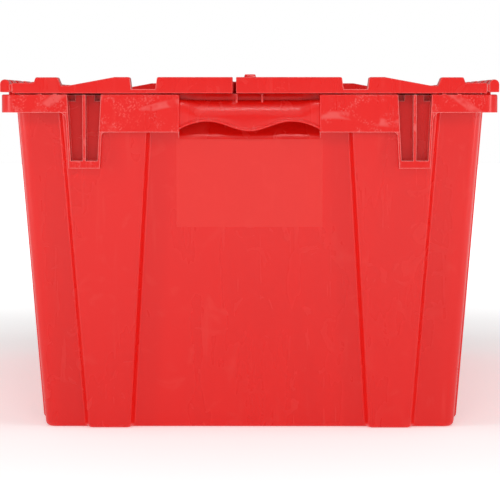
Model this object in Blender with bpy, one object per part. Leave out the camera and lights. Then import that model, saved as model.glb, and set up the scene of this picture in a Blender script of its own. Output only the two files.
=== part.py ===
"""Attached lid tote: a drafted plastic bin with two lid halves on steel hinge rods.

The frame has its origin at the middle of the base, X across the tote, Y along it and
Z up, in metres. Both ends are alike, and so are both long sides. The lid halves are
one moulding used twice, the second turned 180 degrees about Z.
"""

import math

import bmesh
import bpy
from mathutils import Matrix, Vector

# ---- driving dimensions: bin ----
LENGTH = 0.683
HALF_LENGTH = LENGTH / 2
FLANGE_TOP = 0.2921
FLANGE_PLATE = 0.0030
FLANGE_SKIRT_BOTTOM = 0.2765
CORNER_HALF_WIDTH = 0.2145
SIDE_RIM_HALF_WIDTH = 0.2085
CORNER_BAND_START = 0.312
CORNER_STEP = 0.0060
CORNER_RADIUS = 0.0155
CORNER_EDGE_RADIUS = 0.0030
SKIRT_WALL = 0.0025
UNDER_FLANGE_X = 0.1800
UNDER_FLANGE_Y = 0.3150
UNDER_FLANGE_START = 0.2700

WALL = 0.0026
FLOOR = 0.0030
DRAFT_HEIGHT = 0.276
BASE_HALF_X = 0.1801
TOP_HALF_X = 0.2010
BASE_HALF_Y = 0.3095
TOP_HALF_Y = 0.3295
TUB_CORNER_RADIUS = 0.0095
BASE_EDGE_RADIUS = 0.0042
DUST_LIP_TOP = 0.2927
PAST = 0.0050

# ---- columns: lowest and highest edges of their faces, and how far they stand out ----
END_COLUMN_LOW = (0.1049, 0.1409)
END_COLUMN_HIGH = (0.0881, 0.1612)
END_COLUMN_PROUD = 0.0080
SIDE_COLUMN_CENTRES = (0.235, 0.085)
SIDE_COLUMN_HALF_LOW = 0.0200
SIDE_COLUMN_HALF_HIGH = 0.0360
SIDE_COLUMN_PROUD = 0.0062
FLANK = 0.0035

# ---- foot ring and raised middle of the base ----
RECESS_HALF_X = 0.1560
RECESS_HALF_Y = 0.2850
RECESS_HEIGHT = 0.0095
RECESS_DRAFT = 0.0040

# ---- ends: bands, stacking lugs and grip ----
GRIP_HALF = 0.0603
WIDE_BAND_END = 0.1256
WIDE_BAND_BOTTOM = 0.2596
WIDE_BAND_BACK = 0.3270
WIDE_BAND_SOLID_TOP = 0.2900
WIDE_HOLLOW_BACK = 0.3100
WIDE_HOLLOW_BOTTOM = 0.2500
LUG_TOP = (0.1256, 0.1590)
LUG_FOOT = (0.1290, 0.1557)
LUG_BOTTOM = 0.2285
LUG_SOLID_TOP = 0.2925
LUG_BACK = 0.3215
LUG_WALL = 0.0021
POCKET_FLOOR = 0.2350
POCKET_DEPTH = 0.0130
POCKET_RIB = 0.0025
NICHE_FLOOR = 0.2864
POCKET_TAB_HALF = 0.0085
GRIP_WALL = 0.0026
GRIP_TOP = 0.2874
GRIP_FRONT = 0.3398
GRIP_LOBE = 0.2604
GRIP_ARCH = 0.2686
GRIP_ARCH_AT = 0.0360
GRIP_END_LOW = 0.2620
GRIP_STEPS = 20
GRIP_OVERLAP = 0.0008
GRIP_LOW_BACK = 0.0004
# the grip's section above its low edge: distance from the middle of the tote, and drop
GRIP_OUTSIDE = ((0.3286, 0.0), (0.3335, 0.0006), (0.3380, 0.0050), (0.3398, 0.0115))
GRIP_INSIDE = ((0.3372, 0.0115), (0.3359, 0.0058), (0.3325, 0.0026), (0.3286, 0.0026))
SCOOP_HALF = 0.0540
SCOOP_BOTTOM = 0.2560
SCOOP_MOUTH = 0.3281
SCOOP_SLOPE = 1.13
SCOOP_TOP = 0.2842
SCOOP_BACK = 0.3135
SCOOP_SHELL_FRONT = (0.3266, 0.3290)
SCOOP_HOLLOW_FRONT = (0.3350, 0.3350)
RIB_AT = 0.0110
RIB_HALF = 0.0008
RIB_FRONT = 0.3358
RIB_BACK = 0.3280
NUBS_AT = (0.1674, 0.1804)
NUB_HALF = 0.0017
NUB_FRONT = 0.3412
NUB_BACK = 0.3378
SUNK = 0.0010

# ---- hinges ----
AXIS_X = 0.2103
AXIS_Z = 0.3008
BARREL_RADIUS = 0.0042
BARREL_SIDES = 16
HOLE_SIDES = 12
POST_X = (-0.0050, 0.0005)
POST_BOTTOM = 0.2800
POST_SHY = 0.0002
TAB_DROP = 0.0068
ARM_REACH = 0.0040
ARM_TOP = 0.3012
ARM_RISE = 0.0004
ROD_RADIUS = 0.0020
ROD_HOLE_RADIUS = 0.0024
ROD_HALF_LENGTH = 0.3374
HOLE_HALF_LENGTH = 0.3380
BIN_KNUCKLES = ((0.0, 0.040), (0.160, 0.040), (-0.160, 0.040), (0.293, 0.028), (-0.293, 0.028))
LID_KNUCKLES = ((0.085, 0.040), (-0.085, 0.040), (0.235, 0.040), (-0.235, 0.040))
END_KNUCKLE_LENGTH = 0.0190

# ---- lids ----
LID_BOTTOM = 0.2930
PLATE_TOP = 0.2960
LID_EDGE_X = 0.2042
MARGIN_INNER_X = 0.1880
MARGIN_TOP = 0.3020
LID_RIM = 0.0195
RIM_ROUND = 0.0016
RIM_ROUND_STEPS = 3
# the end rim's upper outline from the middle outwards: a block, the stacking notch, a
# ramp, a block and the margin. Each is x and z.
NOTCH = ((0.0795, 0.3070), (0.0808, 0.2965), (0.1016, 0.2965), (0.1029, 0.3070))
RAMP = ((0.1160, 0.3070), (0.1550, 0.2998), (0.1620, 0.2996))
END_BLOCK = ((0.1650, 0.3068), (0.1838, 0.3068), (0.1855, 0.3020))
# the hollows under the ramp and the end block, the same way
RAMP_HOLLOW = ((0.1054, 0.3045), (0.1150, 0.3045), (0.1530, 0.2974))
END_HOLLOW_X = (0.1670, 0.1820)
RIM_CELLS = 3
MARGIN_CELLS = 8
MARGIN_SHY = 0.0040
RIB_END_X = 0.1860
BOSS_X = (-0.0048, 0.0058)
BOSS_Y = (0.0030, 0.0120)
BOSS_HEIGHT = 0.0024
BOSS_DRAFT = 0.0008
LID_WALL = 0.0025
SEAM_SHIFT = 0.0130
SEAM_GAP = 0.0030
SEAM_STATIONS = (0.0, 0.114, 0.228)
SEAM_SLANT = 0.0090
SEAM_RIB_TOP = 0.3040
SEAM_RIB = 0.0035
SEAM_RIB_END = 0.284
RIM_TOP = 0.3070
LID_RIB = 0.0020
LID_RIB_BOTTOM = 0.2885
LID_RIBS_AT = (-0.280, -0.171, -0.057, 0.057, 0.171, 0.280)
LONG_RIBS_AT = (0.072, 0.130)
LONG_RIB_END = 0.300

SMOOTH_ANGLE = math.radians(35)


# ---- helpers ----
def clear_scene():
    for thing in list(bpy.data.objects):
        bpy.data.objects.remove(thing, do_unlink=True)


def plastic(name, colour, roughness, metallic=0.0):
    material = bpy.data.materials.new(name)
    material.use_nodes = True
    shader = material.node_tree.nodes["Principled BSDF"]
    shader.inputs["Base Color"].default_value = (*colour, 1.0)
    shader.inputs["Roughness"].default_value = roughness
    shader.inputs["Metallic"].default_value = metallic
    return material


def finished(bm, name):
    """A closed bmesh becomes an object with its faces pointing out."""
    bmesh.ops.recalc_face_normals(bm, faces=bm.faces)
    mesh = bpy.data.meshes.new(name)
    bm.to_mesh(mesh)
    bm.free()
    thing = bpy.data.objects.new(name, mesh)
    bpy.context.collection.objects.link(thing)
    return thing


def loft(name, rings):
    """A solid through rings of 3-D points, all with the same number of points."""
    bm = bmesh.new()
    loops = [[bm.verts.new(point) for point in ring] for ring in rings]
    for low, high in zip(loops, loops[1:]):
        for i in range(len(low)):
            j = (i + 1) % len(low)
            bm.faces.new((low[i], low[j], high[j], high[i]))
    bm.faces.new(list(reversed(loops[0])))
    bm.faces.new(loops[-1])
    return finished(bm, name)


def prism(name, outline, low, high):
    """An outline of (x, y) points, extruded from low to high."""
    return loft(name, [[(x, y, z) for x, y in outline] for z in (low, high)])


def slab_along_y(name, outline, start, end):
    """An outline of (x, z) points, extruded along Y."""
    return loft(name, [[(x, y, z) for x, z in outline] for y in (start, end)])


def box(name, low, high):
    """A box between two corners."""
    (x0, y0, z0), (x1, y1, z1) = low, high
    return prism(name, [(x0, y0), (x1, y0), (x1, y1), (x0, y1)], z0, z1)


def frustum(name, low, high):
    """A box whose lower and upper rectangles differ: each is x0, x1, y0, y1, z."""
    rings = []
    for x0, x1, y0, y1, z in (low, high):
        rings.append([(x0, y0, z), (x1, y0, z), (x1, y1, z), (x0, y1, z)])
    return loft(name, rings)


def rod(name, radius, x, z, start, end, sides=BARREL_SIDES):
    """A round bar along Y."""
    bm = bmesh.new()
    middle = Matrix.Translation((x, (start + end) / 2, z)) @ Matrix.Rotation(math.pi / 2, 4, "X")
    bmesh.ops.create_cone(
        bm, cap_ends=True, segments=sides, radius1=radius, radius2=radius,
        depth=end - start, matrix=middle,
    )
    return finished(bm, name)


def arc(centre, radius, start, end, steps):
    """Points along an arc, angles in degrees."""
    points = []
    for i in range(steps + 1):
        angle = math.radians(start + (end - start) * i / steps)
        points.append((centre[0] + radius * math.cos(angle), centre[1] + radius * math.sin(angle)))
    return points


def offset(outline, distance):
    """An anticlockwise outline moved outwards by a distance, corners mitred."""
    moved = []
    count = len(outline)
    for i, point in enumerate(outline):
        here = Vector(point)
        before = (here - Vector(outline[i - 1])).normalized()
        after = (Vector(outline[(i + 1) % count]) - here).normalized()
        normal_a = Vector((before.y, -before.x))
        normal_b = Vector((after.y, -after.x))
        middle = (normal_a + normal_b).normalized()
        moved.append(tuple(here + middle * (distance / middle.dot(normal_a))))
    return moved


def at_height(outline, z):
    return [(x, y, z) for x, y in outline]


def join(target, others):
    """Boolean union of a piece with others, which are used up."""
    combine(target, others, "UNION")


def cut(target, others):
    """Boolean difference, the cutters are used up."""
    combine(target, others, "DIFFERENCE")


def combine(target, others, operation):
    for other in others:
        step = target.modifiers.new("step", "BOOLEAN")
        step.operation = operation
        step.solver = "EXACT"
        step.object = other
        graph = bpy.context.evaluated_depsgraph_get()
        result = bpy.data.meshes.new_from_object(target.evaluated_get(graph))
        target.modifiers.clear()
        old = target.data
        target.data = result
        bpy.data.meshes.remove(old)
        bpy.data.objects.remove(other, do_unlink=True)


def both_ends(make):
    """Calls make for the front end (-1) and the back end (1)."""
    return [piece for end in (-1, 1) for piece in make(end)]


def mirrored(outline):
    """The other three quarters of an outline whose points run from -Y round to +X."""
    right = outline + [(x, -y) for x, y in reversed(outline)]
    return right + [(-x, y) for x, y in reversed(right)]


# ---- the bin's walls ----
def blend(low, high, z):
    return low + (high - low) * z / DRAFT_HEIGHT


def tub_outline(z):
    """The wall's outer outline at a height, anticlockwise from the front."""
    half_x = blend(BASE_HALF_X, TOP_HALF_X, z)
    half_y = blend(BASE_HALF_Y, TOP_HALF_Y, z)
    inner = blend(END_COLUMN_LOW[0], END_COLUMN_HIGH[0], z)
    outer = blend(END_COLUMN_LOW[1], END_COLUMN_HIGH[1], z)
    face_y = -half_y - END_COLUMN_PROUD
    points = [(inner - FLANK, -half_y), (inner, face_y), (outer, face_y), (outer + FLANK, -half_y)]
    radius = TUB_CORNER_RADIUS
    points += arc((half_x - radius, radius - half_y), radius, -90, 0, 4)
    half_column = blend(SIDE_COLUMN_HALF_LOW, SIDE_COLUMN_HALF_HIGH, z)
    for centre in SIDE_COLUMN_CENTRES:
        points.append((half_x, -centre - half_column - FLANK))
        points.append((half_x + SIDE_COLUMN_PROUD, -centre - half_column))
        points.append((half_x + SIDE_COLUMN_PROUD, -centre + half_column))
        points.append((half_x, -centre + half_column + FLANK))
    return mirrored(points)


def tub_solid():
    """The bin's outside as a solid, rounded at the base, its lip just under the lids."""
    rings = []
    for angle in (0, 30, 60, 90):
        turn = math.radians(angle)
        z = BASE_EDGE_RADIUS * (1 - math.cos(turn))
        inset = BASE_EDGE_RADIUS * (1 - math.sin(turn))
        rings.append(at_height(offset(tub_outline(z), -inset), z))
    rings.append(at_height(tub_outline(DUST_LIP_TOP), DUST_LIP_TOP))
    return loft("tub", rings)


def tub_hollow():
    """The bin's inside, open above the flange."""
    above = FLANGE_TOP + PAST
    rings = []
    for angle in (0, 45, 90):
        turn = math.radians(angle)
        z = FLOOR + BASE_EDGE_RADIUS * (1 - math.cos(turn))
        inset = WALL + BASE_EDGE_RADIUS * (1 - math.sin(turn))
        rings.append(at_height(offset(tub_outline(z), -inset), z))
    rings.append(at_height(offset(tub_outline(above), -WALL), above))
    return loft("hollow", rings)


# ---- flange ----
def flange_outline():
    """The outer edge of the end flanges, the corner bands and the side rims."""
    radius = CORNER_RADIUS
    points = [(GRIP_HALF, -TOP_HALF_Y + WALL), (GRIP_HALF, -HALF_LENGTH)]
    centre = (CORNER_HALF_WIDTH - radius, radius - HALF_LENGTH)
    points += arc(centre, radius, -90, 0, 5)
    points.append((CORNER_HALF_WIDTH, -CORNER_BAND_START))
    points.append((SIDE_RIM_HALF_WIDTH, -CORNER_BAND_START + CORNER_STEP))
    return mirrored(points)


def flange_slab():
    """The flange, with the corner bands' upper edges rounded where an open lid leans."""
    outline = flange_outline()
    round_start = FLANGE_TOP - CORNER_EDGE_RADIUS
    rings = [at_height(outline, FLANGE_SKIRT_BOTTOM), at_height(outline, round_start)]
    widest = SIDE_RIM_HALF_WIDTH
    for angle in (30, 60, 90):
        turn = math.radians(angle)
        inset = CORNER_EDGE_RADIUS * (1 - math.cos(turn))
        z = round_start + CORNER_EDGE_RADIUS * math.sin(turn)
        ring = []
        for x, y in outline:
            excess = max(abs(x) - widest, 0.0)
            ring.append((math.copysign(abs(x) - min(inset, excess), x), y, z))
        rings.append(ring)
    return loft("flange", rings)


def flange_hollows():
    """What is cut from below: behind the side rims and the corner bands."""
    wall = SKIRT_WALL
    radius = CORNER_RADIUS - wall
    centre = (CORNER_HALF_WIDTH - CORNER_RADIUS, CORNER_RADIUS - HALF_LENGTH)
    start_x = LUG_TOP[1] + LUG_WALL
    quarter = [(start_x, -UNDER_FLANGE_Y), (start_x, -HALF_LENGTH + wall)]
    quarter += arc(centre, radius, -90, 0, 4)
    quarter.append((CORNER_HALF_WIDTH - wall, -CORNER_BAND_START))
    quarter.append((SIDE_RIM_HALF_WIDTH - wall, -CORNER_BAND_START + CORNER_STEP))
    half = quarter + [(x, -y) for x, y in reversed(quarter)]
    half += [(UNDER_FLANGE_X, UNDER_FLANGE_Y), (UNDER_FLANGE_X, -UNDER_FLANGE_Y)]
    cutters = []
    for side in (-1, 1):
        outline = [(side * x, y) for x, y in half]
        ceiling = FLANGE_TOP - FLANGE_PLATE
        cutters.append(prism("under_flange", outline, UNDER_FLANGE_START, ceiling))
    return cutters


# ---- ends ----
def end_box(end, x0, x1, front, back, z0, z1):
    """A box at one end, front and back being distances from the middle of the tote."""
    near, far = sorted((end * front, end * back))
    return box("end_box", (x0, near, z0), (x1, far, z1))


def wide_bands(end):
    pieces = []
    for side in (-1, 1):
        x0, x1 = sorted((side * GRIP_HALF, side * (WIDE_BAND_END + LUG_WALL)))
        low, high = WIDE_BAND_BOTTOM, WIDE_BAND_SOLID_TOP
        pieces.append(end_box(end, x0, x1, HALF_LENGTH, WIDE_BAND_BACK, low, high))
    return pieces


def wide_band_hollows(end):
    pieces = []
    front = HALF_LENGTH - SKIRT_WALL
    top = FLANGE_TOP - FLANGE_PLATE
    for side in (-1, 1):
        x0, x1 = sorted((side * (GRIP_HALF + SKIRT_WALL), side * WIDE_BAND_END))
        pieces.append(end_box(end, x0, x1, front, WIDE_HOLLOW_BACK, WIDE_HOLLOW_BOTTOM, top))
    return pieces


def lugs(end):
    """The stacking lugs below the flange, tapered, still without their pockets."""
    pieces = []
    near, far = sorted((end * HALF_LENGTH, end * LUG_BACK))
    for side in (-1, 1):
        foot = sorted((side * LUG_FOOT[0], side * LUG_FOOT[1]))
        top = sorted((side * LUG_TOP[0], side * LUG_TOP[1]))
        pieces.append(frustum("lug", (*foot, near, far, LUG_BOTTOM), (*top, near, far, LUG_SOLID_TOP)))
    return pieces


def pockets(end):
    """Two cells beside each lug's centre rib, open at the front and the top."""
    pieces = []
    front = end * (HALF_LENGTH + PAST)
    back = end * (HALF_LENGTH - POCKET_DEPTH)
    near, far = sorted((front, back))
    top = FLANGE_TOP + PAST
    share = (top - POCKET_FLOOR) / (LUG_SOLID_TOP - LUG_BOTTOM)
    rise = (POCKET_FLOOR - LUG_BOTTOM) / (LUG_SOLID_TOP - LUG_BOTTOM)
    for side in (-1, 1):
        centre = (LUG_TOP[0] + LUG_TOP[1]) / 2
        for hand in (-1, 1):
            edge = 0 if hand < 0 else 1
            spread = LUG_TOP[edge] - LUG_FOOT[edge]
            low_outer = LUG_FOOT[edge] + spread * rise - hand * LUG_WALL
            high_outer = low_outer + spread * share
            rib = centre + hand * POCKET_RIB / 2
            low = sorted((side * rib, side * low_outer))
            high = sorted((side * rib, side * high_outer))
            low_rect = (*low, near, far, POCKET_FLOOR)
            high_rect = (*high, near, far, top)
            pieces.append(frustum("pocket", low_rect, high_rect))
    return pieces


def pocket_niches(end):
    """Deeper niches at the top of each pocket, on both sides of its raised tab."""
    pieces = []
    front = HALF_LENGTH - POCKET_DEPTH + WALL
    back = LUG_BACK + WALL
    centre = (LUG_TOP[0] + LUG_TOP[1]) / 2
    for side in (-1, 1):
        for hand in (-1, 1):
            tab = centre + hand * POCKET_TAB_HALF
            edge = LUG_TOP[0] + LUG_WALL if hand < 0 else LUG_TOP[1] - LUG_WALL
            x0, x1 = sorted((side * tab, side * edge))
            pieces.append(end_box(end, x0, x1, front, back, NICHE_FLOOR, FLANGE_TOP + PAST))
    return pieces


def grip_bottom(x):
    """Height of the grip's wavy lower edge: a lobe in the middle, an arch each side."""
    away = abs(x)
    if away < GRIP_ARCH_AT:
        share = (1 - math.cos(math.pi * away / GRIP_ARCH_AT)) / 2
        return GRIP_LOBE + (GRIP_ARCH - GRIP_LOBE) * share
    share = (away - GRIP_ARCH_AT) / (GRIP_HALF - GRIP_ARCH_AT)
    return GRIP_ARCH - (GRIP_ARCH - GRIP_END_LOW) * share ** 2


def grip(end):
    """The rolled grip: a section that bows out from the wall, swept along the end."""
    half = GRIP_HALF + GRIP_OVERLAP
    front = GRIP_FRONT - GRIP_LOW_BACK
    rings = []
    for i in range(GRIP_STEPS + 1):
        x = -half + 2 * half * i / GRIP_STEPS
        low = grip_bottom(x)
        section = [(y, GRIP_TOP - drop) for y, drop in GRIP_OUTSIDE]
        section += [(front, low), (front - GRIP_WALL, low)]
        section += [(y, GRIP_TOP - drop) for y, drop in GRIP_INSIDE]
        rings.append([(x, end * y, z) for y, z in section])
    return [loft("grip", rings)]


def scoop_piece(end, half, grow, front_low, front_high):
    """Finger room behind the grip, with a ramp up to it: a hollow, or grown its shell."""
    drop = grow * math.hypot(1.0, SCOOP_SLOPE)
    back = SCOOP_BACK - grow
    ceiling = SCOOP_TOP + grow
    section = [(front_high, ceiling), (back, ceiling)]
    for y in (back, front_low):
        section.append((y, SCOOP_BOTTOM + SCOOP_SLOPE * (SCOOP_MOUTH - y) - drop))
    return loft("scoop", [[(x, end * y, z) for y, z in section] for x in (-half, half)])


def scoop_shell(end):
    """The shell starts inside the wall, which leans outwards towards the top."""
    return [scoop_piece(end, SCOOP_HALF + WALL, WALL, *SCOOP_SHELL_FRONT)]


def scoop_hollow(end):
    return [scoop_piece(end, SCOOP_HALF, 0.0, *SCOOP_HOLLOW_FRONT)]


def rests(end):
    """Two ribs over the grip and small nubs at the corners, all just under the lids."""
    pieces = []
    rib_low = GRIP_TOP - 2 * SUNK
    nub_low = FLANGE_TOP - SUNK
    for x in (-RIB_AT, RIB_AT):
        x0, x1 = x - RIB_HALF, x + RIB_HALF
        pieces.append(end_box(end, x0, x1, RIB_FRONT, RIB_BACK, rib_low, DUST_LIP_TOP))
    for x in [side * at for side in (-1, 1) for at in NUBS_AT]:
        x0, x1 = x - NUB_HALF, x + NUB_HALF
        pieces.append(end_box(end, x0, x1, NUB_FRONT, NUB_BACK, nub_low, DUST_LIP_TOP))
    return pieces


# ---- hinges ----
def bin_knuckle(side, centre, length):
    """A barrel on a thin post that stands on the side rim."""
    start, end = centre - length / 2, centre + length / 2
    barrel = rod("barrel", BARREL_RADIUS, side * AXIS_X, AXIS_Z, start, end)
    x0, x1 = sorted((side * (AXIS_X + POST_X[0]), side * (AXIS_X + POST_X[1])))
    post = box("post", (x0, start + POST_SHY, POST_BOTTOM), (x1, end - POST_SHY, AXIS_Z))
    return [post, barrel]


def lid_knuckle(start, end):
    """A round-topped tab that reaches out from the lid's edge around the rod."""
    low = AXIS_Z - TAB_DROP
    section = [(AXIS_X - BARREL_RADIUS, low), (AXIS_X + BARREL_RADIUS, low)]
    section += arc((AXIS_X, AXIS_Z), BARREL_RADIUS, 0, 180, BARREL_SIDES // 2)
    tab = slab_along_y("tab", section, start, end)
    near = (LID_EDGE_X - ARM_REACH, start + POST_SHY, low + ARM_RISE)
    arm = box("arm", near, (AXIS_X, end - POST_SHY, ARM_TOP))
    return [tab, arm]


# ---- bin ----
def raised_floor():
    """The middle of the floor stands up inside, over the recess in the base."""
    grown_x = RECESS_HALF_X + WALL
    grown_y = RECESS_HALF_Y + WALL
    low_x = grown_x + RECESS_DRAFT
    low_y = grown_y + RECESS_DRAFT
    low = (-low_x, low_x, -low_y, low_y, FLOOR - SUNK)
    high = (-grown_x, grown_x, -grown_y, grown_y, RECESS_HEIGHT + FLOOR)
    return frustum("raised_floor", low, high)


def base_recess():
    low_x = RECESS_HALF_X + RECESS_DRAFT
    low_y = RECESS_HALF_Y + RECESS_DRAFT
    low = (-low_x, low_x, -low_y, low_y, -SUNK)
    high = (-RECESS_HALF_X, RECESS_HALF_X, -RECESS_HALF_Y, RECESS_HALF_Y, RECESS_HEIGHT)
    return frustum("recess", low, high)


def make_bin():
    """Outside first, then the hollow, then what stands inside and what is cut last."""
    flange = flange_slab()
    join(flange, both_ends(wide_bands))
    cut(flange, flange_hollows() + both_ends(wide_band_hollows))
    bin_body = tub_solid()
    join(bin_body, [flange])
    cut(bin_body, [tub_hollow()])
    join(bin_body, both_ends(lugs) + both_ends(scoop_shell))
    cut(bin_body, both_ends(scoop_hollow))
    join(bin_body, both_ends(grip) + both_ends(rests))
    cut(bin_body, both_ends(pockets) + both_ends(pocket_niches))
    join(bin_body, [raised_floor()])
    cut(bin_body, [base_recess()])
    for side in (-1, 1):
        for centre, length in BIN_KNUCKLES:
            join(bin_body, bin_knuckle(side, centre, length))
        reach = HALF_LENGTH + PAST
        hole = rod("hole", ROD_HOLE_RADIUS, side * AXIS_X, AXIS_Z, -reach, reach, HOLE_SIDES)
        cut(bin_body, [hole])
    return bin_body


# ---- lids ----
def seam_line(shift, limit=HALF_LENGTH):
    """The zigzag line where the lids meet, moved sideways, from -limit to limit in Y."""
    side = -1
    points = [(side * SEAM_SHIFT + shift, -limit)]
    for station in sorted({station for s in SEAM_STATIONS for station in (s, -s)}):
        points.append((side * SEAM_SHIFT + shift, station - SEAM_SLANT))
        side = -side
        points.append((side * SEAM_SHIFT + shift, station + SEAM_SLANT))
    points.append((side * SEAM_SHIFT + shift, limit))
    return points


def seam_side(y):
    """-1 or 1: the side of the middle on which the seam lies at a place along it."""
    passed = sum(station < y for s in SEAM_STATIONS for station in {s, -s})
    return -1 if passed % 2 == 0 else 1


def lid_plate():
    seam = seam_line(SEAM_GAP / 2)
    outline = [(LID_EDGE_X, -HALF_LENGTH), (LID_EDGE_X, HALF_LENGTH)] + list(reversed(seam))
    return prism("plate", outline, LID_BOTTOM, PLATE_TOP)


def seam_rib():
    """A wall along the seam edge that stands above and below the plate."""
    near = seam_line(SEAM_GAP / 2, SEAM_RIB_END)
    far = seam_line(SEAM_GAP / 2 + SEAM_RIB, SEAM_RIB_END)
    return prism("seam_rib", far + list(reversed(near)), LID_RIB_BOTTOM, SEAM_RIB_TOP)


def rim_outline(seam_x):
    """The raised end rim seen from the end: blocks, a stacking notch and a ramp."""
    top = [(seam_x, RIM_TOP), *NOTCH, *RAMP, *END_BLOCK]
    outline = [(seam_x, LID_BOTTOM)]
    outline += [point for corner in range(len(top)) for point in rounded_corner(top, corner)]
    return outline + [(LID_EDGE_X, MARGIN_TOP), (LID_EDGE_X, LID_BOTTOM)]


def rounded_corner(line, index):
    """The points of one corner of a line, rounded if it is a convex, steep one."""
    if index == 0 or index == len(line) - 1:
        return [line[index]]
    before, here, after = (Vector(line[index + step]) for step in (-1, 0, 1))
    arriving, leaving = (here - before).normalized(), (after - here).normalized()
    turn = -math.atan2(arriving.cross(leaving), arriving.dot(leaving))
    if turn < SMOOTH_ANGLE:
        return [line[index]]
    reach = RIM_ROUND * math.tan(turn / 2)
    inward = Vector((arriving.y, -arriving.x))
    centre = here - arriving * reach + inward * RIM_ROUND
    start = math.degrees(math.atan2(-inward.y, -inward.x))
    return arc(centre, RIM_ROUND, start, start - math.degrees(turn), RIM_ROUND_STEPS)


def lid_rims():
    """One rim at each end. The seam lies on opposite sides of the middle there."""
    inner = HALF_LENGTH - LID_RIM
    front = slab_along_y("rim", rim_outline(SEAM_GAP / 2 - SEAM_SHIFT), -HALF_LENGTH, -inner)
    back = slab_along_y("rim", rim_outline(SEAM_GAP / 2 + SEAM_SHIFT), inner, HALF_LENGTH)
    return [front, back]


def lid_margin():
    reach = HALF_LENGTH - MARGIN_SHY
    low = (MARGIN_INNER_X, -reach, LID_BOTTOM)
    return box("margin", low, (LID_EDGE_X, reach, MARGIN_TOP))


def rim_hollows(end):
    """Cells cut from below into one end rim, with thin ribs left between them."""
    below = LID_RIB_BOTTOM
    ceiling = RIM_TOP - LID_WALL
    near, far = sorted((end * (HALF_LENGTH - LID_WALL), end * (HALF_LENGTH - LID_RIM + LID_WALL)))
    start = SEAM_GAP / 2 + end * SEAM_SHIFT + LID_WALL
    stop = NOTCH[0][0] - LID_WALL
    width = (stop - start - (RIM_CELLS - 1) * LID_RIB) / RIM_CELLS
    pieces = []
    for i in range(RIM_CELLS):
        x0 = start + i * (width + LID_RIB)
        pieces.append(box("cell", (x0, near, below), (x0 + width, far, ceiling)))
    ramp = [(RAMP_HOLLOW[0][0], below), *RAMP_HOLLOW, (RAMP_HOLLOW[-1][0], below)]
    pieces.append(slab_along_y("cell", ramp, near, far))
    x0, x1 = END_HOLLOW_X
    pieces.append(box("cell", (x0, near, below), (x1, far, ceiling)))
    return pieces


def margin_hollows():
    """Cells under the long margin."""
    reach = HALF_LENGTH - LID_RIM
    pitch = 2 * reach / MARGIN_CELLS
    pieces = []
    for i in range(MARGIN_CELLS):
        start = -reach + i * pitch + LID_RIB / 2
        low = (MARGIN_INNER_X + LID_WALL, start, LID_RIB_BOTTOM)
        high = (LID_EDGE_X - LID_WALL, start + pitch - LID_RIB, MARGIN_TOP - LID_WALL)
        pieces.append(box("cell", low, high))
    return pieces


def lid_ribs():
    """Stiffening ribs under the plate."""
    pieces = []
    for y in LID_RIBS_AT:
        start = seam_side(y) * SEAM_SHIFT + SEAM_GAP / 2 + SEAM_RIB / 2
        low = (start, y - LID_RIB / 2, LID_RIB_BOTTOM)
        pieces.append(box("rib", low, (RIB_END_X, y + LID_RIB / 2, PLATE_TOP - SUNK)))
    for x in LONG_RIBS_AT:
        low = (x - LID_RIB / 2, -LONG_RIB_END, LID_RIB_BOTTOM + SUNK / 2)
        pieces.append(box("rib", low, (x + LID_RIB / 2, LONG_RIB_END, PLATE_TOP - SUNK)))
    return pieces


def lid_knuckles():
    pieces = []
    for centre, length in LID_KNUCKLES:
        pieces += lid_knuckle(centre - length / 2, centre + length / 2)
    pieces += lid_knuckle(-HALF_LENGTH, -HALF_LENGTH + END_KNUCKLE_LENGTH)
    pieces += lid_knuckle(HALF_LENGTH - END_KNUCKLE_LENGTH, HALF_LENGTH)
    return pieces


def boss():
    """A small raised boss on the front rim, in the middle of the tote."""
    x0, x1 = BOSS_X
    y0, y1 = (y - HALF_LENGTH for y in BOSS_Y)
    in_by = BOSS_DRAFT
    low = (x0, x1, y0, y1, RIM_TOP - SUNK)
    high = (x0 + in_by, x1 - in_by, y0 + in_by, y1 - in_by, RIM_TOP + BOSS_HEIGHT)
    return frustum("boss", low, high)


def make_lid():
    """The lid half hinged at +X."""
    lid = lid_plate()
    join(lid, lid_rims() + [lid_margin(), seam_rib(), boss()])
    cut(lid, both_ends(rim_hollows) + margin_hollows())
    join(lid, lid_ribs() + lid_knuckles())
    reach = HOLE_HALF_LENGTH
    cut(lid, [rod("hole", ROD_HOLE_RADIUS, AXIS_X, AXIS_Z, -reach, reach, HOLE_SIDES)])
    return lid


# ---- assembly ----
def on_axis(thing):
    """Moves a piece's origin onto the hinge axis at +X."""
    axis = Vector((AXIS_X, 0.0, AXIS_Z))
    thing.data.transform(Matrix.Translation(-axis))
    thing.location = axis


def other_side(thing, name):
    """The same moulding on the other side of the tote, turned half round."""
    twin = bpy.data.objects.new(name, thing.data)
    bpy.context.collection.objects.link(twin)
    twin.location = (-thing.location.x, 0.0, thing.location.z)
    twin.rotation_euler = (0.0, 0.0, math.pi)
    return twin


def main():
    clear_scene()
    red = plastic("red_moulded_plastic", (0.80, 0.040, 0.030), 0.42)
    steel = plastic("galvanised_steel", (0.56, 0.57, 0.58), 0.38, 1.0)

    bin_body = make_bin()
    bin_body.name = "tote_body"
    lid = make_lid()
    lid.name = "lid_right"
    reach = ROD_HALF_LENGTH
    bar = rod("hinge_rod_right", ROD_RADIUS, AXIS_X, AXIS_Z, -reach, reach, HOLE_SIDES)

    bin_body.data.materials.append(red)
    lid.data.materials.append(red)
    bar.data.materials.append(steel)
    for piece in (lid, bar):
        on_axis(piece)
    for piece in (bin_body, lid, bar):
        piece.data.shade_smooth()
        piece.data.set_sharp_from_angle(angle=SMOOTH_ANGLE)
    other_side(lid, "lid_left")
    other_side(bar, "hinge_rod_left")


main()
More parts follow.
